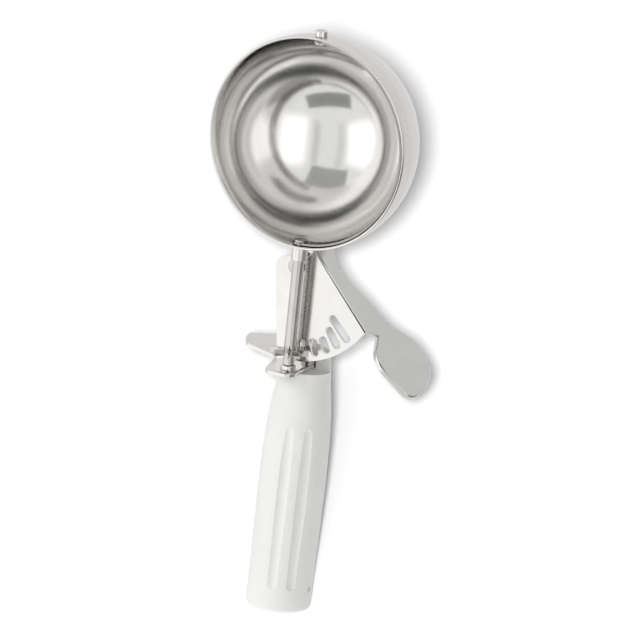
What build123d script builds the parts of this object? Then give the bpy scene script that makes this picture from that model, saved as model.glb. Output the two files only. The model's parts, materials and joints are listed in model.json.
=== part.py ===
from build123d import *
import os
from math import atan, cos, degrees, pi, radians, sin, sqrt, tan

# Lever ice cream scoop (disher), in millimetres.
# Origin: centre of the handle's flat end. +Z runs up the handle to the bowl,
# the bowl opens towards -Y and the thumb lever stands out to +X.

# --- driving dimensions -------------------------------------------------------------

# handle
handle_length = 96.0        # end face to the seat of the ledge
handle_rake = 1.0           # lean of the handle away from the scraper shaft, degrees
grip_radius = 12.85
waist_radius = 12.3         # where the flutes begin
waist_drop = 27.0           # below the seat of the ledge
shoulder_radius = 11.2
shoulder_drop = 14.0
neck_radius = 9.0
neck_rise = 7.0             # plastic that stands up behind the ledge
end_round = 2.4
flute_width = 4.8
flute_depth = 1.1
flute_bottom = 9.0
flute_top = 73.0
flute_facing = 28.0         # middle of a pair, degrees from the front towards the lever
flute_half_spacing = 17.0
seat_gap = 0.3              # free space between the ledge and the plastic beside it
neck_set_back = 7.4         # plastic beside the ledge, behind the lever's fan

# tang
tang_radius = 3.0
tang_start = 6.0            # plastic below the tang's lower end
tang_fit = 0.05
rivet_radius = 1.3
rivet_head_radius = 2.6
rivet_head_height = 1.1
rivet_set_back = 1.3        # rivet behind the tang's axis, clear of the strap
tang_pin_radius = 1.0
tang_pin_inset = 3.5        # above the tang's lower end
tang_pin_recess = 0.5

# ledge with the finger wing
ledge_thickness = 1.6
ledge_left = 8.6
ledge_right = 4.6
ledge_flare = 2.0           # the left edge widens to the wing's root
flare_front = 7.5
flare_back = 14.5
ledge_back = 17.6
ledge_back_taper = 2.5
ledge_corner = 1.5
ledge_front = 5.9           # nose in front of the shaft
ledge_nose_left = 7.2
ledge_nose_right = 3.8
ledge_nose_round = 4.0
ledge_edge_round = 0.6
wing_thickness = 1.2
wing_slope_left = 0.30      # rise for each millimetre to the left
wing_slope_back = 0.33      # rise for each millimetre to the back
wing_length = 16.0
wing_front = 8.2            # front of the tip, behind the shaft
wing_shoulder_front = 10.4  # front edge beside the ledge
wing_back = 21.0
wing_tip_back = 14.4        # the back edge slants from here to the heel
wing_heel = 8.0             # length where the slant ends
wing_root_front = 9.0
wing_root_back = 15.0
wing_lap = 1.2              # root inside the ledge's edge
wing_shoulder = 2.0         # the wing widens from its root over this length
wing_round = 2.6
wing_tip_round = 3.4        # front corner of the tip
wing_hinge = 7.8            # where the slope starts behind the shaft

# bowl
bowl_radius = 41.0
bowl_wall = 1.0
bowl_collar = 4.0
rim_round = 0.3
neck_length = 48.4          # top of the ledge to the underside of the bowl
socket_radius = 3.15
socket_length = 5.2         # below the bowl
socket_round = 0.5
tip_bushing_radius = 2.45
tip_bushing_rise = 2.4
edge_round = 0.4            # outer edges of small turned parts

# shaft and scraper
shaft_offset = 12.0         # shaft in front of the handle's axis
shaft_radius = 2.3
spindle_radius = 1.6        # lower end, carries the pinion
neck_pin_radius = 1.7       # upper end, through the scraper's eye
running_clearance = 0.05
scraper_gap = 0.3
scraper_thickness = 0.8
scraper_front = 3.1
scraper_back = 3.9
scraper_taper = 11.0        # length of the narrowing ends
scraper_end_width = 4.6
eye_radius = 3.0
eye_head_radius = 2.5
eye_head_height = 0.8
tip_pin_radius = 1.2

# pinion and lower bearing
pinion_pitches = 8          # tooth places round the full circle
pinion_teeth = 6            # the other places never meet the lever
pinion_face = 2.4
pinion_pitch_radius = 6.1
tooth_tip_radius = 7.3
tooth_root_radius = 2.9
tooth_tip_width = 1.2
tooth_root_width = 2.0
hub_radius = 2.2
hub_height = 6.3
bushing_radius = 2.9
bushing_flange = 2.0
bushing_spigot_radius = 2.4
end_float = 0.1

# lever
pivot_left = 3.2            # pivot left of the shaft
pivot_gap = 9.4             # pivot below the bowl
fan_front = 5.4             # front face of the fan behind the shaft's axis
fan_thickness = 1.2
fan_gap = 2.0               # between the fan's edge and the ledge
fan_left_angle = 4.9        # left edge, degrees from straight down
ear_radius = 5.0
fold_offset = 10.4          # fold line from the pivot
fold_angle = 42.2           # fold line from straight down, degrees
fold_top = -1.0             # start of the fold along its own line
web_lean = 76.0             # angle of the web to the fan, degrees
web_thickness = 1.2
slot_count = 5
slot_first = 10.9           # first slot from straight down, degrees
slot_width = 2.9
slot_land = 2.0             # between the slots and the fan's edge
slot_short = 6.6
slot_fourth = 9.0
slot_fifth = 12.0
web_width = 9.4             # beside the pivot
web_straight = 2.0          # length that keeps this width
web_waist = 7.1
web_waist_start = 6.0
web_belly = 10.4            # width farther down
web_belly_start = 24.5
web_foot = 15.6             # width where the pad starts
tongue_lap = 3.0            # tongue under the web
tongue_reach = 8.0          # tongue under the pad
tongue_near = 7.0
tongue_far = 13.5
rear_ear_gap = 3.2          # between the strap and the rear ear

# thumb pad
pad_start = 3.4             # below the fan's corner
pad_root_near = 5.2         # across the web, from the fold
pad_heel = 7.9              # heel, shoulder, hip, side and tip: lengths from the pad's start
pad_heel_near = 3.8         # reach in front of the fold
pad_heel_round = 10.0
pad_shoulder = 7.5
pad_shoulder_far = 22.2     # far: across the pad, from the fold
pad_shoulder_round = 14.5
pad_hip = 20.8
pad_hip_far = 22.1
pad_hip_round = 9.5
pad_side = 25.6
pad_side_far = 14.1
pad_side_round = 14.0
pad_tip = 28.0
pad_tip_far = 2.0
pad_tip_round = 5.2
pad_thickness = 1.2
pad_rim = 1.0               # turned-in edge below the plate
pad_edge_round = 0.8

# frame strap
strap_front = 8.6
strap_thickness = 1.4
strap_top_gap = 7.0         # shoulders of the strap below the bowl
strap_left = 14.0
strap_right = 5.0
strap_foot_left = 9.2
strap_foot_right = 4.4
strap_neck_left = 5.0
strap_neck_right = 2.5
strap_corner = 4.5
strap_foot_back = 17.0

# pivot pin and return spring
pivot_radius = 2.0
pivot_head_radius = 3.3
pivot_head_height = 1.2
pivot_head_round = 0.8
spacer_radius = 3.8
washer_radius = 3.6
washer_thickness = 0.6
wire_radius = 0.45
coil_clearance = 0.35
spring_leg = 13.0

# --- places worked out from the dimensions ---------------------------------------------

shaft_y = -shaft_offset
ledge_top = handle_length + ledge_thickness
centre_z = ledge_top + neck_length + bowl_radius
shaft_line = Location((0, shaft_y, 0))
bowl_centre = Location((0, shaft_y, centre_z))
pivot_drop = bowl_radius + pivot_gap
pivot_place = Location((-pivot_left, shaft_y, centre_z - pivot_drop))
bowl_inner = bowl_radius - bowl_wall
scraper_outer = bowl_inner - scraper_gap
scraper_inner = scraper_outer - scraper_thickness
strap_back = strap_front + strap_thickness
rear_ear_front = strap_back + rear_ear_gap
foot_top = ledge_top + strap_thickness
rivet_place = Location((handle_length * tan(radians(handle_rake)), rivet_set_back, 0))
bushing_top = ledge_top + bushing_flange
pinion_top = bushing_top + end_float + hub_height
tang_pin_height = tang_start + tang_pin_inset
fan_radius = neck_length - pivot_gap - fan_gap
slot_outer = fan_radius - slot_land
mesh_drop = centre_z - pivot_drop - (pinion_top - pinion_face / 2)
mesh_radius = sqrt(mesh_drop ** 2 + pivot_left ** 2)
slot_pitch = degrees(2 * pi * pinion_pitch_radius / pinion_pitches / mesh_radius)
past_all = 2 * centre_z     # reach of shapes that cut


def along_z(radius, bottom, top):
    """Upright cylinder between two heights."""
    return Pos(0, 0, bottom) * Cylinder(
        radius, top - bottom, align=(Align.CENTER, Align.CENTER, Align.MIN))


def bore_z(radius):
    """Upright cylinder for a hole that goes right through."""
    return along_z(radius, -past_all, past_all)


def along_y(radius, front, back):
    """Cylinder that lies front to back between two depths."""
    return Pos(0, front, 0) * Rot(-90, 0, 0) * Cylinder(
        radius, back - front, align=(Align.CENTER, Align.CENTER, Align.MIN))


def bore_y(radius):
    """Front to back cylinder for a hole that goes right through."""
    return along_y(radius, -past_all, past_all)


def box_between(low, high):
    """Box from its low corner to its high corner."""
    size = [top - bottom for bottom, top in zip(low, high)]
    return Pos(*low) * Box(*size, align=(Align.MIN, Align.MIN, Align.MIN))


def raked(piece):
    """Lean a piece of the handle about the centre of its end."""
    return Rot(0, handle_rake, 0) * piece


def bar(radius, start, end):
    """Round bar between two points."""
    start, end = Vector(*start), Vector(*end)
    return Plane(origin=start, z_dir=end - start) * Cylinder(
        radius, (end - start).length, align=(Align.CENTER, Align.CENTER, Align.MIN))


# --- handle ---------------------------------------------------------------------------

def handle():
    top = handle_length + neck_rise
    foot = -2 * end_round
    side = Spline(
        (neck_radius, top),
        (shoulder_radius, handle_length - shoulder_drop),
        (waist_radius, handle_length - waist_drop),
        (grip_radius, handle_length / 2),
        (grip_radius, foot),
    )
    outline = [side, Line((grip_radius, foot), (0, foot)), Line((0, foot), (0, top)),
               Line((0, top), (neck_radius, top))]
    turned = revolve(Plane.XZ * make_face(outline), Axis.Z)
    body = raked(turned) - box_between((-past_all, -past_all, -past_all), (past_all, past_all, 0))
    body = fillet(body.edges().group_by(Axis.Z)[0], end_round)
    body -= flute_cutters()
    body -= raked(along_z(tang_radius + tang_fit, tang_start, past_all))
    body -= tang_pin_shape(past_all)
    beside = ledge_right + seat_gap
    behind = shaft_y + ledge_back + seat_gap
    in_front = shaft_y + fan_front + fan_thickness + neck_set_back
    seat = (-past_all, -past_all, handle_length)
    body -= box_between(seat, (past_all, in_front, past_all))
    body -= box_between(seat, (beside, behind, past_all))
    return body


def flute_cutters():
    """Round-ended cutters, a pair in front and a pair at the back."""
    radius = (flute_width ** 2 / 4 + flute_depth ** 2) / (2 * flute_depth)
    distance = grip_radius - flute_depth + radius
    capsule = along_z(radius, flute_bottom + radius, flute_top - radius)
    capsule += Pos(0, 0, flute_bottom + radius) * Sphere(radius)
    capsule += Pos(0, 0, flute_top - radius) * Sphere(radius)
    cutters = []
    for facing in (flute_facing, flute_facing + 180):
        for side in (-flute_half_spacing, flute_half_spacing):
            cutters.append(raked(Rot(0, 0, facing + side) * Pos(0, -distance, 0) * capsule))
    return cutters


def tang():
    rod = raked(along_z(tang_radius, tang_start, past_all))
    rod -= box_between((-past_all, -past_all, handle_length), (past_all, past_all, 2 * past_all))
    rod -= tang_pin_shape(past_all)
    spigot = along_z(rivet_radius, handle_length, foot_top)
    head = along_z(rivet_head_radius, foot_top, foot_top + rivet_head_height)
    head = fillet(head.edges().group_by(Axis.Z)[-1], rivet_head_height * 0.8)
    return rod + rivet_place * (spigot + head)


def tang_pin_shape(length):
    return raked(Pos(0, 0, tang_pin_height) * Rot(0, 90, 0) * Cylinder(tang_pin_radius, length))


def tang_pin():
    return tang_pin_shape(2 * (grip_radius - tang_pin_recess))


# --- ledge, wing and lower bearing ------------------------------------------------------

def ledge():
    shoulder = ledge_left + ledge_flare
    plan = make_face(Polyline(
        (-shoulder, flare_front), (-shoulder, flare_back),
        (-ledge_left + ledge_back_taper, ledge_back), (ledge_right, ledge_back),
        (ledge_right, 0), (ledge_nose_right, -ledge_front), (-ledge_nose_left, -ledge_front),
        close=True))
    plan = fillet(plan.vertices().group_by(Axis.Y)[0], ledge_nose_round)
    plan = fillet(plan.vertices().group_by(Axis.Y)[-1], ledge_corner)
    sheet = extrude(plan, ledge_thickness)
    sheet = fillet(sheet.edges().group_by(Axis.Z)[-1], ledge_edge_round)
    sheet = Pos(0, 0, handle_length) * sheet + wing()
    sheet -= bore_z(bushing_spigot_radius)
    sheet = shaft_line * sheet
    return sheet - rivet_place * bore_z(rivet_radius)


def wing():
    """Finger wing: a rounded tongue that rises to the left and to the back."""
    root = -ledge_left - ledge_flare + wing_lap
    tip = -ledge_left - wing_length
    heel = -ledge_left - wing_heel
    shoulder = root - wing_shoulder
    tongue = make_face(FilletPolyline(
        (root, wing_root_front), (root, wing_root_back), (shoulder, wing_back),
        (heel, wing_back), (tip, wing_tip_back), (tip, wing_front),
        (shoulder, wing_shoulder_front),
        radius=[0, 0, wing_round, wing_round, wing_round, wing_tip_round, 0], close=True))
    slab_plane = Plane(
        origin=(-ledge_left - ledge_flare, wing_hinge, ledge_top),
        x_dir=(1, 0, -wing_slope_left),
        z_dir=Vector(wing_slope_left, -wing_slope_back, 1).normalized())
    slab = slab_plane * Box(past_all, past_all, wing_thickness,
                            align=(Align.CENTER, Align.CENTER, Align.MAX))
    prism = Pos(0, 0, handle_length) * extrude(tongue, past_all)
    return prism & slab


def lower_bushing():
    body = along_z(bushing_radius, ledge_top, bushing_top)
    body = fillet(body.edges().group_by(Axis.Z)[-1], edge_round)
    body += along_z(bushing_spigot_radius, handle_length, ledge_top)
    body -= bore_z(spindle_radius + running_clearance)
    return shaft_line * body


# --- bowl and its bearings ------------------------------------------------------------------

def bowl():
    section = make_face([
        CenterArc((0, 0), bowl_radius, 0, 90),
        Line((bowl_radius, 0), (bowl_radius, -bowl_collar)),
        Line((bowl_radius, -bowl_collar), (bowl_inner, -bowl_collar)),
        Line((bowl_inner, -bowl_collar), (bowl_inner, 0)),
        CenterArc((0, 0), bowl_inner, 0, 90),
        Line((0, bowl_inner), (0, bowl_radius)),
    ])
    shell = revolve(section, Axis.Y)
    shell = fillet(shell.edges().group_by(Axis.Y)[0], rim_round)
    shell -= along_z(neck_pin_radius + running_clearance, -past_all, 0)
    shell -= along_z(tip_pin_radius + running_clearance, 0, past_all)
    return bowl_centre * shell


def bowl_envelope():
    """Outside of the bowl as one solid, for what is brazed against it."""
    return Sphere(bowl_radius) + along_y(bowl_radius, -bowl_collar, 0)


def bowl_socket():
    body = along_z(socket_radius, -bowl_radius - socket_length, -bowl_radius + socket_radius)
    body = fillet(body.edges().group_by(Axis.Z)[0], socket_round)
    body -= bowl_envelope()
    body -= bore_z(shaft_radius + running_clearance)
    return bowl_centre * body


def tip_bushing():
    top = bowl_radius + tip_bushing_rise
    body = along_z(tip_bushing_radius, bowl_radius - tip_bushing_rise, top)
    body = fillet(body.edges().group_by(Axis.Z)[-1], edge_round)
    body -= bowl_envelope()
    body -= bore_z(tip_pin_radius + running_clearance)
    return bowl_centre * body


# --- scraper -----------------------------------------------------------------------------------

def scraper_blade():
    shell = Sphere(scraper_outer) - Sphere(scraper_inner)
    half_end = scraper_end_width / 2
    taper_start = bowl_radius - scraper_taper
    upper = [(-scraper_front, 0), (-scraper_front, taper_start),
             (-half_end, bowl_radius), (half_end, bowl_radius),
             (scraper_back, taper_start), (scraper_back, 0)]
    lower = [(depth, -height) for depth, height in reversed(upper[1:-1])]
    outline = make_face(Polyline(*upper, *lower, close=True))
    band = extrude(Plane.YZ * outline, bowl_radius)
    eyes = along_z(eye_radius, -bowl_radius, bowl_radius)
    blade = shell & (band + eyes)
    blade -= along_z(neck_pin_radius, -bowl_radius, 0)
    blade -= along_z(tip_pin_radius, 0, bowl_radius)
    return bowl_centre * blade


def eye_head(radius, upwards):
    """Rivet head that sits against the inner face of the scraper's eye."""
    side = 1 if upwards else -1
    near = side * (scraper_inner - eye_head_height)
    far = side * scraper_inner
    head = along_z(radius, min(near, far), max(near, far))
    return head & Sphere(scraper_inner)


def scraper_tip_pin():
    head = eye_head(tip_bushing_radius, True)
    pin = along_z(tip_pin_radius, scraper_inner - eye_head_height, bowl_radius + tip_bushing_rise)
    return bowl_centre * (pin + head)


def scraper_shaft():
    shoulder = -bowl_radius - end_float
    bottom = handle_length - centre_z
    body = along_z(shaft_radius, pinion_top - centre_z, shoulder)
    body += along_z(neck_pin_radius, shoulder, -scraper_inner + eye_head_height)
    body += along_z(spindle_radius, bottom, pinion_top - centre_z)
    body += eye_head(eye_head_radius, False)
    return bowl_centre * body


def pinion():
    """Radial teeth on a long hub, from the first slot round to the front."""
    disc_bottom = pinion_top - pinion_face
    body = along_z(hub_radius, bushing_top + end_float, pinion_top)
    body += along_z(tooth_root_radius, disc_bottom, pinion_top)
    inside = hub_radius
    tooth_plan = make_face(Polyline(
        (-tooth_root_width / 2, inside), (-tooth_tip_width / 2, tooth_tip_radius),
        (tooth_tip_width / 2, tooth_tip_radius), (tooth_root_width / 2, inside), close=True))
    tooth = Pos(0, 0, disc_bottom) * extrude(tooth_plan, pinion_face)
    step = 360 / pinion_pitches
    for index in range(pinion_teeth):
        body += Rot(0, 0, -first_tooth_angle() - index * step) * tooth
    body -= bore_z(spindle_radius)
    return shaft_line * body


def gear_ratio():
    """Scraper degrees for each degree of the lever."""
    return mesh_radius / pinion_pitch_radius


def first_tooth_angle():
    """Rest angle of the tooth in the first slot, from straight back towards the lever."""
    mesh_angle = degrees(atan(pivot_left / mesh_drop))
    return gear_ratio() * (slot_first - mesh_angle)


# --- lever ------------------------------------------------------------------------------------------

def fold_point(along, outwards):
    """Point beside the fold line, from the pivot: across and up."""
    turn = radians(fold_angle)
    return (along * sin(turn) + outwards * cos(turn), -along * cos(turn) + outwards * sin(turn))


def web_plane():
    """Outer face of the web: local X runs down the fold, local Y back across the web."""
    turn = radians(fold_angle)
    lean = radians(web_lean)
    x, z = fold_point(0, fold_offset)
    outwards = (sin(lean) * cos(turn), -cos(lean), sin(lean) * sin(turn))
    return Plane(origin=(x, fan_front, z), x_dir=(sin(turn), 0, -cos(turn)), z_dir=outwards)


def fan_corner():
    """Distance down the fold line to the fan's corner."""
    return sqrt(fan_radius ** 2 - fold_offset ** 2)


def slot_lengths():
    short = [slot_short] * (slot_count - 2)
    return short + [slot_fourth, slot_fifth]


def fan_plate():
    turn = radians(fan_left_angle)
    left_corner = (fan_radius * sin(turn), -fan_radius * cos(turn))
    right_corner = fold_point(fan_corner(), fold_offset)
    middle = radians((fan_left_angle + fold_angle) / 2)
    lowest = (fan_radius * sin(middle), -fan_radius * cos(middle))
    upper_right = fold_point(fold_top, fold_offset)
    plan = make_face([
        ThreePointArc(left_corner, lowest, right_corner),
        Line(right_corner, upper_right),
        Line(upper_right, (0, 0)),
        Line((0, 0), left_corner),
    ])
    plan += Circle(ear_radius)
    for index, length in enumerate(slot_lengths()):
        angle = slot_first + index * slot_pitch
        slot = Pos(0, -slot_outer + length / 2) * Rot(0, 0, 90) * SlotOverall(length, slot_width)
        plan -= Rot(0, 0, angle) * slot
    plan -= Circle(pivot_radius + running_clearance)
    return Pos(0, fan_front + fan_thickness, 0) * extrude(Plane.XZ * plan, fan_thickness)


def pad_root():
    """Distance down the fold line to the pad."""
    return fan_corner() + pad_start


def web_outline():
    """Strip from the fold to the pad."""
    corner = fan_corner()
    root = pad_root()
    across = (pad_shoulder, pad_shoulder_far - web_foot)
    return make_face([
        Line((fold_top, 0), (corner, 0)),
        Line((corner, 0), (root, pad_root_near)),
        Line((root, pad_root_near), (root, web_foot)),
        Spline((root, web_foot), (web_belly_start, web_belly), (web_waist_start, web_waist),
               (web_straight, web_width), tangents=[(-across[0], -across[1]), (-1, 1)]),
        Line((web_straight, web_width), (fold_top, web_width)),
        Line((fold_top, web_width), (fold_top, 0)),
    ])


def tongue():
    """Strip under the web's end that carries the pad."""
    root = pad_root()
    plan = Pos(root - tongue_lap, tongue_near) * Rectangle(
        tongue_lap + tongue_reach, tongue_far - tongue_near, align=(Align.MIN, Align.MIN))
    return Pos(0, 0, -web_thickness) * extrude(plan, -web_thickness)


def rear_ear():
    lean = radians(web_lean)
    near = fold_offset + (rear_ear_front - fan_front) / tan(lean) - web_thickness / 2
    plan = make_face(Polyline(
        (0, ear_radius), fold_point(fold_top, near), fold_point(web_straight, near),
        (0, -ear_radius), close=True))
    plan += Circle(ear_radius)
    plan -= Circle(pivot_radius + running_clearance)
    back = rear_ear_front + fan_thickness
    return Pos(0, back, 0) * extrude(Plane.XZ * plan, fan_thickness)


def lever():
    web = extrude(web_outline(), -web_thickness) + tongue()
    body = fan_plate() + web_plane() * web + rear_ear()
    return pivot_place * body


def pad_outline():
    """Rounded pad, laid out along the fold line and across it."""
    root = pad_root()
    return make_face(FilletPolyline(
        (root, pad_root_near), (root + pad_heel, -pad_heel_near), (root + pad_tip, pad_tip_far),
        (root + pad_side, pad_side_far), (root + pad_hip, pad_hip_far),
        (root + pad_shoulder, pad_shoulder_far), (root, web_foot),
        radius=[0, pad_heel_round, pad_tip_round, pad_side_round, pad_hip_round,
                pad_shoulder_round, 0],
        close=True))


def thumb_pad():
    """Pad in line with the web, its free edge rounded and turned in."""
    outline = pad_outline()
    body = extrude(outline, -pad_thickness - pad_rim)
    free_edges = body.edges().group_by(Axis.Z)[-1].sort_by(Axis.X)[1:]
    body = fillet(free_edges, pad_edge_round)
    hollow = offset(outline, -pad_thickness)
    body -= Pos(0, 0, -pad_thickness) * extrude(hollow, -pad_rim)
    body -= tongue()
    return pivot_place * (web_plane() * body)


# --- frame strap, pivot and return spring ---------------------------------------------------------

def strap_plan():
    """Front view of the strap, from the bowl's centre down to the ledge."""
    foot = ledge_top - centre_z
    top = -bowl_radius - strap_top_gap
    plate = make_face(Polyline(
        (-strap_left, top), (strap_right, top), (strap_foot_right, foot),
        (-strap_foot_left, foot), close=True))
    plate = fillet(plate.vertices().group_by(Axis.Y)[-1], strap_corner)
    neck = Pos(-strap_neck_left, top - strap_corner) * Rectangle(
        strap_neck_left + strap_neck_right, strap_top_gap + 2 * strap_corner,
        align=(Align.MIN, Align.MIN))
    return plate + neck


def frame_strap():
    sheet = Pos(0, strap_back, 0) * extrude(Plane.XZ * strap_plan(), strap_thickness)
    sheet -= bowl_envelope()
    foot = ledge_top - centre_z
    bend = box_between((-strap_foot_left, strap_front, foot),
                       (strap_foot_right, strap_foot_back, foot + strap_thickness))
    sheet += bend
    across, down = spring_leg_place()
    leg_hole = Pos(across, 0, down) * bore_y(wire_radius)
    sheet -= Pos(-pivot_left, 0, -pivot_drop) * (bore_y(pivot_radius) + leg_hole)
    sheet = bowl_centre * sheet
    return sheet - rivet_place * bore_z(rivet_radius)


def pivot_pin():
    head_back = fan_front - end_float
    rear = rear_ear_front + fan_thickness + end_float + washer_thickness
    body = along_y(pivot_radius, head_back, rear)
    front_head = along_y(pivot_head_radius, head_back - pivot_head_height, head_back)
    front_head = fillet(front_head.edges().group_by(Axis.Y)[0], pivot_head_round)
    rear_head = along_y(pivot_head_radius, rear, rear + pivot_head_height)
    rear_head = fillet(rear_head.edges().group_by(Axis.Y)[-1], pivot_head_round)
    return pivot_place * (body + front_head + rear_head)


def washer(radius, front, back):
    return pivot_place * (along_y(radius, front, back) - along_y(pivot_radius, front, back))


def pivot_spacer():
    return washer(spacer_radius, fan_front + fan_thickness + end_float, strap_front)


def pivot_washer():
    front = rear_ear_front + fan_thickness + end_float
    return washer(washer_radius, front, front + washer_thickness)


def coil(front, turns):
    """Turns of spring wire round the pivot pin, closed to rings."""
    radius = pivot_radius + coil_clearance + wire_radius
    rings = Torus(radius, wire_radius)
    rings = Pos(0, front + wire_radius, 0) * Rot(90, 0, 0) * rings
    body = rings
    for turn in range(1, turns):
        body += Pos(0, turn * 2 * wire_radius * 0.94, 0) * rings
    return body


def spring_leg_place():
    """Foot of the long leg, across and up from the pivot."""
    return (-pivot_radius - coil_clearance - wire_radius, -spring_leg)


def return_spring():
    """Coil with its long leg down behind the strap and into a hole of the strap."""
    front = strap_back + end_float
    wire_y = front + wire_radius
    across, down = spring_leg_place()
    knee = (across, wire_y, down)
    body = coil(front, 2) + bar(wire_radius, (across, wire_y, 0), knee)
    body += bar(wire_radius, knee, (across, strap_front, down)) + Pos(*knee) * Sphere(wire_radius)
    return pivot_place * body


def return_spring_arm():
    """Last turn and the short leg, which push on the inside of the web."""
    front = rear_ear_front - 2 * wire_radius - 2 * end_float
    radius = pivot_radius + coil_clearance + wire_radius
    wire_y = front + wire_radius
    start = fold_point(-radius, 0)
    inside = fold_offset + (wire_y - fan_front) / tan(radians(web_lean))
    reach = inside - web_thickness / sin(radians(web_lean)) - wire_radius - end_float
    end = fold_point(wire_radius - radius, reach)
    leg = bar(wire_radius, (start[0], wire_y, start[1]), (end[0], wire_y, end[1]))
    return pivot_place * (coil(front, 1) + leg)


# --- build --------------------------------------------------------------------------------------------

makers = {
    "handle": handle,
    "tang": tang,
    "tang_pin": tang_pin,
    "ledge": ledge,
    "lower_bushing": lower_bushing,
    "frame_strap": frame_strap,
    "bowl": bowl,
    "bowl_socket": bowl_socket,
    "tip_bushing": tip_bushing,
    "pivot_pin": pivot_pin,
    "pivot_spacer": pivot_spacer,
    "pivot_washer": pivot_washer,
    "return_spring": return_spring,
    "lever": lever,
    "thumb_pad": thumb_pad,
    "return_spring_arm": return_spring_arm,
    "scraper_blade": scraper_blade,
    "scraper_tip_pin": scraper_tip_pin,
    "scraper_shaft": scraper_shaft,
    "pinion": pinion,
}

os.makedirs("parts", exist_ok=True)
for name, make in makers.items():
    export_step(make(), f"parts/{name}.step")
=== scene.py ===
# %% [markdown]
# # A lever ice cream scoop, dressed for the camera
# The solids of the scoop come in as a fixed frame: every piece already has its place and size.
# Blender adds what the solids leave plain. Polished steel needs smooth shells and soft edges, wire needs a
# true helix, and every surface needs the finish of the process that made it.

# %% Load the frame
import json
from math import cos, pi, radians, sin, tan

import bmesh
import bpy
from mathutils import Matrix, Vector
from mathutils.bvhtree import BVHTree


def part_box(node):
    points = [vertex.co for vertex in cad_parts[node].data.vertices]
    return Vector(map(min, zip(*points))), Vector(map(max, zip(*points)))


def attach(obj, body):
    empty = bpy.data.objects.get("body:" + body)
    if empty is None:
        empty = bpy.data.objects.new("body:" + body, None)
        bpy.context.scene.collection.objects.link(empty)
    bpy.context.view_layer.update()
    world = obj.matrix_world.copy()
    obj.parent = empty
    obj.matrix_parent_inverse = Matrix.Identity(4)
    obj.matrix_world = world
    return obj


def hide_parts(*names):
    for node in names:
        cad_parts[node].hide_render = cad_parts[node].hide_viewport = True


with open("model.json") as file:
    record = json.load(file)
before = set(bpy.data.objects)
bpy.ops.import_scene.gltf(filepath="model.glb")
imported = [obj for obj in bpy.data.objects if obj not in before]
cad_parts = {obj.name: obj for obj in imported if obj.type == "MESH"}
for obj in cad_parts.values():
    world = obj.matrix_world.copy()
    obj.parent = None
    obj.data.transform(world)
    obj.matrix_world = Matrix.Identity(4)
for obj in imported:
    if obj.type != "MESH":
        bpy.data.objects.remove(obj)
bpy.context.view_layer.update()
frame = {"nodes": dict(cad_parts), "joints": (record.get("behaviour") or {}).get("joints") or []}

MM = 0.001

# %% [markdown]
# ## Places that the frame gives
# No piece is placed by eye. The bowl's centre and radius and the pivot of the lever are read from the
# boxes of the pieces and from the joints, so a bowl of another size would still be dressed in the right
# place.

# %% Centres and radii
bowl_low, bowl_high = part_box("bowl")
BOWL_RADIUS = (bowl_high.x - bowl_low.x) / 2
bowl_centre = Vector(((bowl_low.x + bowl_high.x) / 2, bowl_high.y - BOWL_RADIUS, bowl_low.z + BOWL_RADIUS))
COLLAR = bowl_centre.y - bowl_low.y
joint_place = {joint["name"]: Vector(joint["pos_m"]) for joint in frame["joints"]}
pivot = joint_place["lever_hinge"]
print("bowl radius", round(BOWL_RADIUS / MM, 2), "collar", round(COLLAR / MM, 2), "pivot", pivot)

# %% [markdown]
# ## Colours and shader nodes
# Colours are written as the hex values that a paint chart or a screen shows. The renderer works in linear
# light, so one function turns them. Another adds a shader node with its settings and links in one call,
# which keeps each finish short enough to read as a recipe.

# %% Colour and node helpers
def linear(code):
    """Linear red, green, blue and alpha of an sRGB hex colour."""
    channels = [int(code[i:i + 2], 16) / 255 for i in (1, 3, 5)]
    curve = [c / 12.92 if c <= 0.04045 else ((c + 0.055) / 1.055) ** 2.4 for c in channels]
    return (*curve, 1.0)


def add(tree, kind, inputs=None, **settings):
    """Add one shader node. An input is linked if its value is a socket, and set if it isn't."""
    made = tree.nodes.new("ShaderNode" + kind)
    for name, value in settings.items():
        setattr(made, name, value)
    for name, value in (inputs or {}).items():
        if isinstance(value, bpy.types.NodeSocket):
            tree.links.new(value, made.inputs[name])
        else:
            made.inputs[name].default_value = value
    return made


def empty_tree(owner):
    """Node tree of a new material, world or light, with nothing in it."""
    owner.use_nodes = True
    owner.node_tree.nodes.clear()
    return owner.node_tree


def new_material(name, **surface):
    """Material with a Principled surface. Returns the material, its tree and the surface."""
    made = bpy.data.materials.new(name)
    tree = empty_tree(made)
    shader = add(tree, "BsdfPrincipled", {key.replace("_", " "): v for key, v in surface.items()})
    add(tree, "OutputMaterial", {"Surface": shader.outputs["BSDF"]})
    return made, tree, shader


# %% [markdown]
# ## Patterns in millimetres
# A noise texture repeats about once in each unit of its scaled coordinate. Its scale is therefore one over
# the size of a mark, and a helper turns millimetres on the real object into that number. Most values of a
# noise lie in a middle range. A finish spreads that range out in three ways: as a tint between two
# colours, as roughness, and as a relief that is too fine to model.

# %% Patterns and finish
LOW, HIGH = 0.3, 0.7        # middle range of a noise


def per(size):
    """Texture scale for marks of this size in millimetres."""
    return 1 / (size * MM)


def cloud(tree, size, detail=3.0):
    """Soft patches of this size in millimetres."""
    where = add(tree, "TexCoord").outputs["Object"]
    return add(tree, "TexNoise", {"Vector": where, "Scale": per(size), "Detail": detail}).outputs["Fac"]


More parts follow.
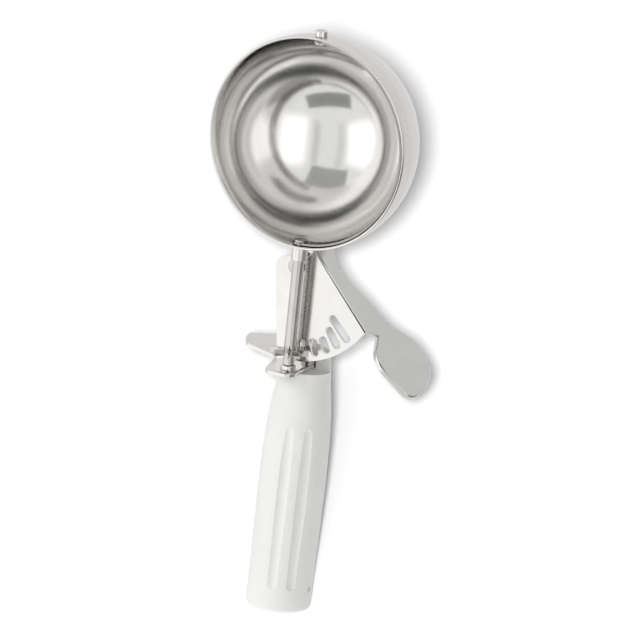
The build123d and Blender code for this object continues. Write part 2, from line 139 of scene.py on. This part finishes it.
def finish(tree, shader, tint, sheens=(), reliefs=()):
    """Let noises change the colour, the roughness and the relief of a surface.

    The tint is a noise with its dark and light colour. Each sheen is a noise with the roughness at the two
    ends of its middle range, and they add up. Each relief is a noise with its height in millimetres and its
    strength, and it lies on the one before."""
    noise, dark, light = tint
    ramp = add(tree, "ValToRGB", {"Fac": noise})
    ends = ramp.color_ramp.elements
    ends[0].position, ends[0].color = LOW, linear(dark)
    ends[1].position, ends[1].color = HIGH, linear(light)
    tree.links.new(ramp.outputs["Color"], shader.inputs["Base Color"])
    rough = normal = None
    for noise, at_low, at_high in sheens:
        sheen = add(tree, "MapRange", {"Value": noise, "From Min": LOW, "From Max": HIGH,
                                       "To Min": at_low, "To Max": at_high}).outputs["Result"]
        if rough:
            sheen = add(tree, "Math", {0: rough, 1: sheen}, operation="ADD").outputs["Value"]
        rough = sheen
    for noise, height, strength in reliefs:
        inputs = {"Height": noise, "Distance": height * MM, "Strength": strength}
        if normal:
            inputs["Normal"] = normal
        normal = add(tree, "Bump", inputs).outputs["Normal"]
    for socket, name in ((rough, "Roughness"), (normal, "Normal")):
        if socket:
            tree.links.new(socket, shader.inputs[name])


# %% [markdown]
# ## Spun stainless steel
# A scoop's bowl is spun or drawn from a disc of stainless sheet and polished on the turning lathe, so its
# marks are fine rings round the axis of the mouth. The rings are noise along one line: the way from the
# bottom of the bowl to the rim, which is the angle from the axis times the radius. Real rings are a tenth
# of a millimetre apart. They are drawn five times as coarse, because finer ones would vanish in the render.
# A second noise, ten times as broad, tints the steel in soft bands, and wiping leaves smudges.

# %% Ring coordinate and the two faces of the bowl
def ring_noise(tree, spacing, detail):
    """Noise that changes only from the bottom of the bowl to its rim."""
    where = add(tree, "TexCoord").outputs["Object"]
    moved = add(tree, "Mapping", {"Vector": where, "Location": -bowl_centre}).outputs["Vector"]
    aim = add(tree, "VectorMath", {0: moved}, operation="NORMALIZE").outputs["Vector"]
    forward = add(tree, "SeparateXYZ", {"Vector": aim}).outputs["Y"]
    angle = add(tree, "Math", {0: forward}, operation="ARCCOSINE").outputs["Value"]
    way = add(tree, "Math", {0: angle, 1: BOWL_RADIUS}, operation="MULTIPLY").outputs["Value"]
    noise = add(tree, "TexNoise", {"W": way, "Scale": per(spacing), "Detail": detail},
                noise_dimensions="1D")
    return noise.outputs["Fac"]


def spun_stainless(name, light, dark, rough, depth):
    """Lathe-polished steel of this roughness, with rings of this depth in millimetres."""
    made, tree, shader = new_material(name, Metallic=1.0)
    rings = ring_noise(tree, spacing=0.5, detail=2.0)
    bands = ring_noise(tree, spacing=5.0, detail=3.0)
    smudges = cloud(tree, size=14)
    finish(tree, shader, (bands, dark, light),
           sheens=[(rings, rough * 0.85, rough * 1.15), (smudges, -0.02, 0.02)],
           reliefs=[(rings, depth, 1.0)])
    return made


bowl_inside = spun_stainless("spun_stainless_polished", "#EDECEA", "#E7E6E4", 0.12, 0.0006)
bowl_outside = spun_stainless("spun_stainless_satin", "#DEDCDA", "#D6D4D2", 0.27, 0.0015)

# %% [markdown]
# ## Sheet, rod and wire
# The lever, the strap and the ledge are stamped from sheet that was polished before it was bent: a bright
# surface with a faint grain along the sheet and a few soft smudges. Rods and rivets are turned or drawn, so
# their marks run round or along them. One recipe covers all: noise whose coordinate is stretched along the
# grain, which makes long thin marks, with its own size and depth for each finish.

# %% Grained metal
def grained_steel(name, light, dark, rough, smudge, run, depth):
    """Metal with smudges of this size and marks that run this far in X, Y and Z, all in millimetres."""
    made, tree, shader = new_material(name, Metallic=1.0)
    where = add(tree, "TexCoord").outputs["Object"]
    stretch = tuple(per(length) for length in run)
    lines = add(tree, "Mapping", {"Vector": where, "Scale": stretch}).outputs["Vector"]
    marks = add(tree, "TexNoise", {"Vector": lines, "Scale": 1.0, "Detail": 3.0}).outputs["Fac"]
    smudges = cloud(tree, smudge)
    finish(tree, shader, (smudges, dark, light),
           sheens=[(marks, rough * 0.8, rough * 1.2), (smudges, -0.025, 0.025)],
           reliefs=[(marks, depth, 1.0)])
    return made


lever_steel = grained_steel("stamped_stainless", "#DBDAD8", "#D6D5D3", 0.16, 9, (0.4, 0.4, 9), 0.0008)
chrome = grained_steel("polished_nickel_plate", "#DEDCDA", "#D7D5D2", 0.07, 6, (1.2, 1.2, 4), 0.0004)
# The scraper's strip is spring steel, but its tint is darker than the steel alone: painted shade of the thin
# gap between the blade and the bowl's rim.
scraper_steel = grained_steel("spring_strip_steel_with_painted_shade", "#A3A19E", "#959390", 0.15, 8, (0.3, 0.3, 12), 0.0008)
turned_steel = grained_steel("turned_steel", "#C9C7C4", "#BFBDBA", 0.14, 5, (3, 3, 0.25), 0.0012)
rivet_steel = grained_steel("headed_rivet_steel", "#C8C6C3", "#BEBCB9", 0.17, 3, (2, 0.3, 2), 0.0015)
spring_wire = grained_steel("drawn_spring_wire", "#A9A6A1", "#97948F", 0.24, 2, (0.2, 0.2, 1.5), 0.002)

# %% [markdown]
# ## White nylon
# The grip is injection-moulded nylon, a slightly milky white. The mould's fine texture and the sink of the
# cooling plastic give it an uneven sheen, which two noises draw: grains of a third of a millimetre and
# slow waves of a few millimetres. A little light enters the plastic, so the edges of the flutes stay soft.

# %% Moulded nylon
def moulded_nylon():
    """Milky white plastic with the texture of its mould."""
    made, tree, shader = new_material("moulded_nylon", IOR=1.53, Subsurface_Weight=0.12,
                                      Subsurface_Radius=(1.0, 1.0, 0.9), Subsurface_Scale=0.8 * MM)
    grains = cloud(tree, size=0.35, detail=2.0)
    waves = cloud(tree, size=7.0, detail=2.0)
    finish(tree, shader, (waves, "#EEEEEC", "#F1F1EF"),
           sheens=[(grains, 0.34, 0.46)],
           reliefs=[(grains, 0.004, 0.7), (waves, 0.003, 1.0)])
    return made


nylon = moulded_nylon()
print("finishes:", [material.name for material in bpy.data.materials])

# %% [markdown]
# ## Dress the solids
# A solid whose shape is already right only needs its finish. Turned and drawn pieces are such solids: the
# shaft, the tang, the pins and washers, and the thin strip of the scraper.

# %% Solids that stay
def dress(material, *nodes):
    """Give solids of the frame this finish."""
    for name in nodes:
        mesh = frame["nodes"][name].data
        mesh.materials.clear()
        mesh.materials.append(material)
    print(material.name, "on", ", ".join(nodes))


dress(turned_steel, "scraper_shaft", "scraper_tip_pin", "tang")
dress(rivet_steel, "pivot_pin", "pivot_spacer", "pivot_washer", "tang_pin")
dress(scraper_steel, "scraper_blade")

# %% [markdown]
# ## New pieces
# A piece that takes the place of a solid keeps its object at the origin, as the solids do, and has its
# place in its mesh. A bmesh is turned to an object in one way for all of them, and for the studio's floor
# and cards as well.

# %% Mesh to object
def place(name, data):
    """New object at the origin of the scene."""
    made = bpy.data.objects.new(name, data)
    bpy.context.scene.collection.objects.link(made)
    return made


def place_mesh(name, mesh, *materials):
    """New object at the origin with this mesh and these materials."""
    data = bpy.data.meshes.new(name)
    mesh.to_mesh(data)
    mesh.free()
    for material in materials:
        data.materials.append(material)
    return place(name, data)


def stand_in(node, name, mesh, body, slot, *materials):
    """New piece that rides on a body and takes the place of a solid."""
    made = place_mesh(name, mesh, *materials)
    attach(made, body)
    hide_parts(node)
    print(name, len(made.data.polygons), "faces")
    return made


def smooth(mesh):
    """Shade all faces smoothly."""
    for face in mesh.faces:
        face.smooth = True


# %% [markdown]
# ## Edges of stamped and turned pieces
# A stamping is tumbled or polished after it is cut, so its edges are a little round and catch the light
# as a thin line. The solids have razor-sharp ones. A copy of the solid gets its triangles merged into whole
# faces, then every sharp edge a small bevel, which reads as that polished edge from any side. The lever's
# fan plate is bent over to its web, and this bend gets a wider bevel, as a press brake leaves it.

# %% Soft-edged copies
SEAM = 0.02 * MM            # pieces closer than this touch
MERGE = 0.002 * MM          # points closer than this are one
FLAT = radians(0.6)         # faces that meet at less are one face
SHARP = radians(28)         # faces that meet at more have an edge to soften
NEARLY = 0.9                # the inner and outer edges of a bend are at least this share of the longest
BEVEL_STEPS = 3


def merged_copy(node):
    """Mesh of a solid with its triangles merged into whole faces."""
    mesh = bmesh.new()
    mesh.from_mesh(frame["nodes"][node].data)
    bmesh.ops.remove_doubles(mesh, verts=mesh.verts, dist=MERGE)
    bmesh.ops.dissolve_limit(mesh, angle_limit=FLAT, verts=mesh.verts, edges=mesh.edges)
    return mesh


def soft_edged(node, name, body, material, slot, width, flush=None, fold=None, form=None):
    """Copy of a solid with its sharp edges rounded to this width in millimetres.

    Edges that lie on the flush node stay sharp, so that the seam between the two is closed. The longest
    edges are the bend of a sheet, which can have a fold width of its own. A form changes the mesh first."""
    mesh = merged_copy(node)
    if form:
        form(mesh)
    smooth(mesh)
    neighbour = merged_copy(flush) if flush else bmesh.new()
    seam = BVHTree.FromBMesh(neighbour)
    neighbour.free()
    weight = mesh.edges.layers.float.new("bevel_weight_edge")
    for edge in mesh.edges:
        edge.smooth = edge.calc_face_angle(0) < SHARP
        middle = (edge.verts[0].co + edge.verts[1].co) / 2
        touching = seam.find_nearest(middle, SEAM)[0] is not None
        edge[weight] = 0.0 if edge.smooth or touching else width / (fold or width)
    if fold:
        sharp = [edge for edge in mesh.edges if edge[weight]]
        longest = max(edge.calc_length() for edge in sharp)
        for edge in sharp:
            if edge.calc_length() > NEARLY * longest:
                edge[weight] = 1.0
                print(name, "has a bend", round(edge.calc_length() / MM, 1), "mm long")
    made = stand_in(node, name, mesh, body, slot, material)
    bevel = made.modifiers.new("polished_edges", "BEVEL")
    bevel.width = (fold or width) * MM
    bevel.segments = BEVEL_STEPS
    bevel.limit_method = "WEIGHT"
    bevel.harden_normals = True
    bevel.use_clamp_overlap = not fold
    return made


soft_edged("lever", "lever_stamping", "lever", lever_steel, "lever_steel", 0.22, flush="thumb_pad", fold=0.9)
soft_edged("thumb_pad", "thumb_pad_stamping", "lever", lever_steel, "lever_steel", 0.2, flush="lever")
soft_edged("frame_strap", "frame_strap_stamping", "frame", chrome, "chrome", 0.25)
soft_edged("ledge", "ledge_stamping", "frame", chrome, "chrome", 0.2)
soft_edged("lower_bushing", "lower_bushing_turning", "frame", chrome, "chrome", 0.25)
soft_edged("bowl_socket", "bowl_socket_turning", "frame", chrome, "chrome", 0.3)
soft_edged("tip_bushing", "tip_bushing_turning", "frame", chrome, "chrome", 0.3)
soft_edged("pinion", "pinion_turning", "scraper", turned_steel, "scraper_steel", 0.2)

# %% [markdown]
# ## The grip
# The flutes of the moulded grip run out softly towards the neck. The solid's flutes stop a little early, so
# its copy is drawn out there: points rise by up to four millimetres where the flutes end, and by nothing
# at the seat or in the lowest third. The seat, the foot and the pin's hole keep their places.

# %% Grip
FLUTE_RISE = 3.8 * MM       # the most that a point rises
RISE_GROWS = (30, 72)       # millimetres: nothing rises below the first height, all above the second
RISE_FADES = (94, 76)       # millimetres: nothing rises above the first height, all below the second


def ease(value, start, stop):
    """Smooth step from 0 at start to 1 at stop."""
    share = min(max((value - start) / (stop - start), 0), 1)
    return share * share * (3 - 2 * share)


def longer_flutes(mesh):
    """Draw the upper ends of the flutes out towards the neck."""
    for vert in mesh.verts:
        height = vert.co.z / MM
        vert.co.z += FLUTE_RISE * ease(height, *RISE_GROWS) * ease(height, *RISE_FADES)


grip = soft_edged("handle", "handle_moulding", "frame", nylon, "white_plastic", 0.7, form=longer_flutes)

# %% [markdown]
# ## The torsion spring
# One piece of hard-drawn wire, coiled round the pivot pin behind the strap: a long leg runs down and hooks
# into a hole of the strap, a short one pushes on the lever. The solids show its turns as closed rings. Here
# a circle of wire is swept round the pin and moved along it at the same time, which gives the true helix.
# Then the open end is drawn out to the leg. The last turn belongs to the lever and stays in its own plane,
# so it can follow the lever without leaving the coil.

# %% Coil of wire with a straight leg
WIRE = 0.42 * MM            # radius of the wire
COIL = 2.8 * MM             # radius of a turn, to the middle of the wire
WRAP = 0.45 * MM            # from the back of the coil to the middle of its wire
PITCH = 0.85 * MM           # rise of one turn, just over the width of the wire
WIRE_SIDES = 14
TURN_STEPS = 40
HOOK_STEPS = 6


def draw_out(mesh, edges, step):
    """Draw an open end of wire out by this step. Returns the edges of the new end."""
    made = bmesh.ops.extrude_edge_only(mesh, edges=edges)["geom"]
    bmesh.ops.translate(mesh, verts=[part for part in made if isinstance(part, bmesh.types.BMVert)], vec=step)
    return [part for part in made if isinstance(part, bmesh.types.BMEdge) and part.is_boundary]


def wire_coil(node, name, body, turns, rise, way, leg, hook=0.0, turned=0.0):
    """Coil round the pivot whose leg leaves its left side, down for way 1 and up for way -1.

    The whole is then turned by some degrees about the pivot."""
    mesh = bmesh.new()
    hub = Vector((pivot.x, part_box(node)[1].y - WRAP - rise, pivot.z))
    made = bmesh.ops.create_circle(mesh, segments=WIRE_SIDES, radius=WIRE)["verts"]
    bmesh.ops.translate(mesh, verts=made, vec=hub - Vector((COIL, 0, 0)))
    ring = mesh.edges[:]
    end = draw_out(mesh, ring, (0, 0, -way * leg))
    if hook:
        bend = hub - Vector((COIL, WRAP, leg))
        last = bmesh.ops.spin(mesh, geom=end, cent=bend, axis=(1, 0, 0), angle=radians(-90), steps=HOOK_STEPS)
        end = [part for part in last["geom_last"] if isinstance(part, bmesh.types.BMEdge)]
        draw_out(mesh, end, (0, -hook, 0))
    steps = round(TURN_STEPS * turns)
    bmesh.ops.spin(mesh, geom=ring, cent=hub, axis=(0, 1, 0), dvec=(0, rise / steps, 0),
                   angle=way * 2 * pi * turns, steps=steps)
    bmesh.ops.holes_fill(mesh, edges=[edge for edge in mesh.edges if edge.is_boundary])
    bmesh.ops.rotate(mesh, verts=mesh.verts, cent=hub, matrix=Matrix.Rotation(radians(turned), 3, "Y"))
    bmesh.ops.recalc_face_normals(mesh, faces=mesh.faces)
    smooth(mesh)
    stand_in(node, name, mesh, body, "spring_steel", spring_wire)


wire_coil("return_spring", "torsion_spring", "frame",
          turns=1.0, rise=PITCH, way=1, leg=12.55 * MM, hook=1.0 * MM)
wire_coil("return_spring_arm", "torsion_spring_end", "lever",
          turns=0.92, rise=0.0, way=-1, leg=10.0 * MM, turned=47.8)

# %% [markdown]
# ## The bowl
# The bowl is one thin shell: half a sphere, a short straight collar and a rim turned smooth. It is made as
# a spinner would think of it. A full sphere is cut at its widest place, the open edge is drawn out to the
# collar, the skin gets its wall, and the rim's two edges are rounded. The round of the rim is polished with
# the outside, and the lathe's finer finish starts inside it.

# %% Bowl shell
BOWL_WALL = 1.0 * MM
RIM_ROUND = 0.47 * MM
INSIDE = BOWL_RADIUS - 0.96 * BOWL_WALL     # faces with their middle in here have the inside finish
TOUCH = 1e-6                # metres, for points that lie in one plane
CORNER = radians(60)        # faces of the rim meet at more than this


def bowl_shell():
    """Thin bowl with a collar and a rounded rim."""
    mesh = bmesh.new()
    bmesh.ops.create_uvsphere(mesh, u_segments=192, v_segments=96, radius=BOWL_RADIUS,
                              matrix=Matrix.Rotation(radians(90), 4, "X"))
    bmesh.ops.bisect_plane(mesh, geom=mesh.verts[:] + mesh.edges[:] + mesh.faces[:], dist=TOUCH,
                           plane_co=(0, 0, 0), plane_no=(0, -1, 0), clear_outer=True)
    mouth = [edge for edge in mesh.edges if edge.is_boundary]
    draw_out(mesh, mouth, (0, -COLLAR, 0))
    bmesh.ops.recalc_face_normals(mesh, faces=mesh.faces)
    bmesh.ops.solidify(mesh, geom=mesh.faces[:], thickness=BOWL_WALL)
    rim = [edge for edge in mesh.edges
           if all(abs(vert.co.y + COLLAR) < TOUCH for vert in edge.verts)
           and edge.calc_face_angle(0) > CORNER]
    bmesh.ops.bevel(mesh, geom=rim, offset=RIM_ROUND, segments=4, affect="EDGES", profile=0.5,
                    material=-1)
    for face in mesh.faces:
        centre = face.calc_center_median()
        centre.y = max(centre.y, 0)
        face.material_index = 0 if centre.length < INSIDE else 1
    bmesh.ops.translate(mesh, verts=mesh.verts, vec=bowl_centre)
    smooth(mesh)
    return stand_in("bowl", "bowl_shell", mesh, "frame", "bowl_steel", bowl_inside, bowl_outside)


shell = bowl_shell()
reach = max((vert.co - bowl_centre).length for vert in shell.data.vertices)
print("the collar reaches", round(reach / MM, 2), "mm from the bowl's centre")

# %% [markdown]
# ## The camera
# A long lens from in front, a little to the right and above, and turned a few degrees about its own
# axis, so that the scoop leans as it does in the hand.

# %% Camera
camera_azimuth = radians(25.677)
camera_elevation = radians(15.588)
camera_roll = radians(5.852)
camera_distance = 2579.1 * MM
camera_target = Vector((5.65, 0, 115.9)) * MM
picture_scale = 2.63        # pixels for each millimetre at the target
picture_width = 640
sensor = 36

level = Vector((cos(camera_azimuth), sin(camera_azimuth), 0))
back = Vector((sin(camera_azimuth) * cos(camera_elevation),
               -cos(camera_azimuth) * cos(camera_elevation), sin(camera_elevation)))
upright = back.cross(level)


def place_camera():
    """Camera that looks at the target, with its own sideways and upward axes turned by the roll."""
    lens = bpy.data.cameras.new("studio_camera")
    lens.sensor_width = sensor
    lens.lens = picture_scale / picture_width * sensor * camera_distance / MM
    lens.clip_start = 0.1
    lens.clip_end = 100
    camera = place("studio_camera", lens)
    right = cos(camera_roll) * level + sin(camera_roll) * upright
    up = cos(camera_roll) * upright - sin(camera_roll) * level
    camera.matrix_world = (Matrix.Translation(camera_target + back * camera_distance)
                           @ Matrix((right, up, back)).transposed().to_4x4())
    bpy.context.scene.camera = camera
    print("lens", round(lens.lens, 1), "mm")


place_camera()

# %% [markdown]
# ## Floor
# A large sheet of white paper. It gives a little light of its own, as paper does under a lit studio
# ceiling. It has no gloss and the steel doesn't mirror it, because the room and the reflectors of the next
# steps stand for all that the steel shows.

# %% Floor
FLOOR_RADIUS = 12           # metres, so that its edge is out of sight


def paper_floor():
    """Round sheet of paper under the scoop."""
    paper, tree, shader = new_material("white_paper", Roughness=0.9, Specular_IOR_Level=0.0,
                                       Emission_Color=(1, 1, 1, 1), Emission_Strength=0.04)
    fibres = cloud(tree, size=1.5)
    finish(tree, shader, (fibres, "#F3F3F3", "#F6F6F6"))
    mesh = bmesh.new()
    bmesh.ops.create_circle(mesh, cap_ends=True, segments=96, radius=FLOOR_RADIUS)
    made = place_mesh("floor", mesh, paper)
    made.visible_glossy = False
    return made


floor = paper_floor()

# %% [markdown]
# ## Reflectors
# Polished steel has no look of its own: it shows the studio. A studio for steel is therefore built from
# large white cards and narrow black ones, placed by the direction in which the metal must be bright or
# dark. Each card here is a plane that only reflections see. Turn is measured to the right of the camera
# and lift above its line of sight. Large cards stand far off, are aimed at the centre of the bowl, and
# serve the bowl. Two small cards close to the lever serve its fan plate and its bend alone, because they
# glow only for reflections that start within their reach. The camera's own dark front shows only in the
# second bounce, as the dark rings in a bowl do.

# %% Directions
def toward(turn, lift):
    """Direction turned to the camera's right and lifted above its line of sight, in degrees."""
    a, e = radians(turn), radians(lift)
    return cos(e) * (cos(a) * back + sin(a) * level) + sin(e) * upright


# %% Glow of a card
def card_material(name, radiance, fade, bounce, reach):
    """Glow that fades out over these shares of the card's width and height.

    With a bounce, only that bounce of a reflection sees it, and with a reach, only rays shorter than it."""
    made = bpy.data.materials.new(name)
    made.cycles.emission_sampling = "NONE"
    tree = empty_tree(made)
    across = add(tree, "SeparateXYZ", {"Vector": add(tree, "TexCoord").outputs["UV"]})
    covers = []
    for axis, share in zip(("X", "Y"), fade):
        middle = add(tree, "Math", {0: across.outputs[axis], 1: 0.5}, operation="SUBTRACT")
        far = add(tree, "Math", {0: middle.outputs["Value"]}, operation="ABSOLUTE")
        covers.append(add(tree, "MapRange", {"Value": far.outputs["Value"], "From Min": 0.5 - share,
                                             "From Max": 0.5, "To Min": 1.0, "To Max": 0.0},
                          interpolation_type="SMOOTHSTEP").outputs["Result"])
    ray = add(tree, "LightPath")
    if bounce:
        covers.append(add(tree, "Math", {0: ray.outputs["Glossy Depth"], 1: bounce, 2: 0.5},
                          operation="COMPARE").outputs["Value"])
    if reach:
        covers.append(add(tree, "Math", {0: ray.outputs["Ray Length"], 1: reach},
                          operation="LESS_THAN").outputs["Value"])
    cover = covers[0]
    for other in covers[1:]:
        cover = add(tree, "Math", {0: cover, 1: other}, operation="MULTIPLY").outputs["Value"]
    glow = add(tree, "Emission", {"Color": (1, 1, 1, 1), "Strength": radiance})
    clear = add(tree, "BsdfTransparent")
    mixed = add(tree, "MixShader", {0: cover, 1: clear.outputs["BSDF"], 2: glow.outputs["Emission"]})
    add(tree, "OutputMaterial", {"Surface": mixed.outputs["Shader"]})
    return made


# %% Card
def card(name, turns, lifts, radiance, fade=(0.06, 0.06), focus=bowl_centre, distance=1.5,
         bounce=0, reach=0):
    """Flat card that covers these turns and lifts, in degrees, seen from the focus.

    Distance and reach are in metres. Only reflections see the card."""
    facing = toward(sum(turns) / 2, sum(lifts) / 2)
    width, height = (2 * distance * tan(radians(high - low) / 2) for low, high in (turns, lifts))
    side = upright.cross(facing).normalized()
    axes = Matrix((side, facing.cross(side), facing)).transposed().to_4x4()
    mesh = bmesh.new()
    mesh.loops.layers.uv.new("card")
    bmesh.ops.create_grid(mesh, x_segments=1, y_segments=1, size=0.5, calc_uvs=True)
    bmesh.ops.scale(mesh, vec=(width, height, 1), verts=mesh.verts)
    bmesh.ops.transform(mesh, verts=mesh.verts,
                        matrix=Matrix.Translation(focus + facing * distance) @ axes)
    made = place_mesh(name, mesh, card_material(name + "_glow", radiance, fade, bounce, reach))
    for kind in ("camera", "diffuse", "shadow", "transmission", "volume_scatter"):
        setattr(made, "visible_" + kind, False)
    print(name, "is", round(width, 2), "by", round(height, 2), "m")


# %% Cards of this studio
fan_middle = pivot + Vector((13, 5, -22)) * MM
bend_middle = pivot + Vector((25, 5, -14)) * MM
card("card_right", (0, 42), (-36, 32), 1.3, fade=(0.26, 0.24))
card("card_left", (-104, -38), (-32, 26), 1.36, fade=(0.16, 0.26))
card("flag_above", (-48, -4), (24, 62), 0.4)
card("flag_below", (-46, 2), (-60, -42), 0.3)
card("frame_right", (-12, 1), (-30, 30), 0.66, fade=(0.45, 0.2))
card("frame_left", (-40, -27), (-30, 30), 0.72, fade=(0.45, 0.2))
card("lens", (-20, 15), (-24, 32), 0.03, fade=(0.45, 0.35), bounce=2)
card("flag_right", (46, 118), (-65, 22), 0.34, fade=(0.16, 0.12))
card("flag_pad", (68, 122), (15, 66), 0.74, fade=(0.2, 0.2))
card("card_low", (-92, -22), (-54, -6), 1.3, fade=(0.1, 0.1),
     focus=fan_middle, distance=0.1, reach=0.145)
card("flag_fold", (-34, 48), (-18, 24), 0.05, fade=(0.2, 0.2),
     focus=bend_middle, distance=0.09, reach=0.11)

# %% [markdown]
# ## Lights
# The room is an even light grey where the metal reflects it, and weaker where it lights the plastic, so
# that the softbox on the left can model the grip and its flutes. The softboxes leave the paper alone. Two
# round lamps beside the camera light only the paper, and throw the soft shadow that follows the outline of
# the scoop, as a ring flash does. The second one throws the shadow of the grip alone, which stands close
# to the paper and needs a wider lamp for a shadow of the same width. Light values go straight to the
# screen, so white paper is white.

# %% Room
def room(seen, reflected, shade):
    """Even surroundings: white to the camera, grey to the metal, weaker still as light on matte things."""
    world = bpy.data.worlds.new("studio_room")
    bpy.context.scene.world = world
    tree = empty_tree(world)
    ray = add(tree, "LightPath")
    matte = add(tree, "MapRange", {"Value": ray.outputs["Is Diffuse Ray"], "To Min": reflected,
                                   "To Max": shade})
    level_seen = add(tree, "MapRange", {"Value": ray.outputs["Is Camera Ray"], "To Max": seen,
                                        "To Min": matte.outputs["Result"]})
    sky = add(tree, "Background", {"Color": (1, 1, 1, 1), "Strength": level_seen.outputs["Result"]})
    add(tree, "OutputWorld", {"Surface": sky.outputs["Background"]})


bpy.context.scene.view_settings.view_transform = "Standard"
room(seen=1.0, reflected=0.88, shade=0.2)


# %% What the lights fall on
def light_group(name, piece, state="INCLUDE"):
    """Collection for light linking: this piece alone, or everything but this piece."""
    made = bpy.data.collections.new(name)
    made.objects.link(piece)
    made.collection_objects[0].light_linking.link_state = state
    return made


lit_paper = light_group("lit_paper", floor)
unlit_paper = light_group("unlit_paper", floor, "EXCLUDE")
shade_of_grip = light_group("shade_of_grip", grip)

# %% Softboxes
SOFTBOX_DISTANCE = 1.2      # metres from the scoop
SOFTBOX_SIZE = 0.7


def hang(name, kind, direction, distance):
    """New light that looks at the middle of the scoop."""
    light = bpy.data.lights.new(name, kind)
    made = place(name, light)
    made.location = camera_target + direction * distance
    made.rotation_mode = "QUATERNION"
    made.rotation_quaternion = direction.to_track_quat("Z", "Y")
    made.visible_camera = False
    made.visible_glossy = False
    return made, light


def softbox(name, turn, lift, radiance):
    """Square area light that models matte surfaces and leaves the paper alone."""
    made, light = hang(name, "AREA", toward(turn, lift), SOFTBOX_DISTANCE)
    light.shape = "SQUARE"
    light.size = SOFTBOX_SIZE
    light.energy = radiance * SOFTBOX_SIZE ** 2 * pi
    made.light_linking.receiver_collection = unlit_paper
    print(name, round(light.energy, 2), "W")


softbox("key_left", -58, 20, 3.8)
softbox("key_front", 0, 8, 1.5)
softbox("key_top", -20, 70, 1.8)

# %% Lamps for the paper
PAPER_END = 3.4             # metres from the camera to the top of the picture


def paper_lamp(name, left, above, size, strength, blocker=None):
    """Round lamp beside the camera, millimetres left and above it, that falls on the paper only.

    Its light grows with the distance, so that the paper is even up to the top of the picture. With a
    blocker, only that collection throws a shadow in it."""
    made, light = hang(name, "POINT", back, camera_distance)
    made.location += (above * upright - left * level) * MM
    light.shadow_soft_size = size * MM
    light.energy = 4 * pi * strength
    tree = empty_tree(light)
    flat = add(tree, "LightFalloff", {"Strength": 1 / PAPER_END}).outputs["Constant"]
    way = add(tree, "LightPath").outputs["Ray Length"]
    even = add(tree, "Math", {0: flat, 1: way}, operation="MULTIPLY").outputs["Value"]
    glow = add(tree, "Emission", {"Strength": even})
    add(tree, "OutputLight", {"Surface": glow.outputs["Emission"]})
    made.light_linking.receiver_collection = lit_paper
    made.light_linking.blocker_collection = blocker
    print(name, round(light.energy, 1), "W")


paper_lamp("lamp_near", left=16, above=3, size=22, strength=9.6)
paper_lamp("lamp_grip", left=70, above=45, size=85, strength=1.9, blocker=shade_of_grip)
